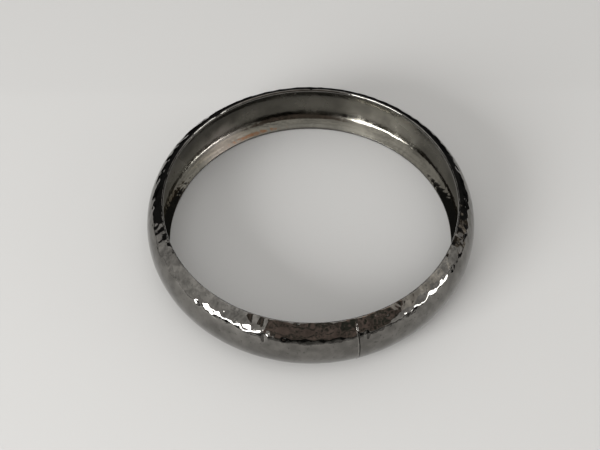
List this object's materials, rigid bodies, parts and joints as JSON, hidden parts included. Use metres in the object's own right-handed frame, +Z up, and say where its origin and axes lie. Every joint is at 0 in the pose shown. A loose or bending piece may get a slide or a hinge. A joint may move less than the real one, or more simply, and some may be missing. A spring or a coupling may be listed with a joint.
{
  "type": "bangle bracelet",
  "caption": "Closed slip-on bangle: a domed, open-backed metal band with a hammered face, its ends joined in a brazed seam.",
  "frame": {"origin": "centre of the ring, on the plane that its lower edge rests on", "axes": "+Z up along the ring's axis, front towards -Y, the seam 15 degrees from -Y towards +X"},
  "size_m": [0.0738, 0.0738, 0.0141],
  "materials": {
    "band_plate": "hammered, polished and plated in dark gunmetal (black nickel)",
    "braze_plate": "dressed braze under the same dark plate",
    "strap_plate": "unpolished sheet under the same dark plate"
  },
  "bodies": {
    "root": {"band_shell": "band_plate", "seam_braze": "braze_plate", "seam_strap": "strap_plate"}
  },
  "joints": []
}
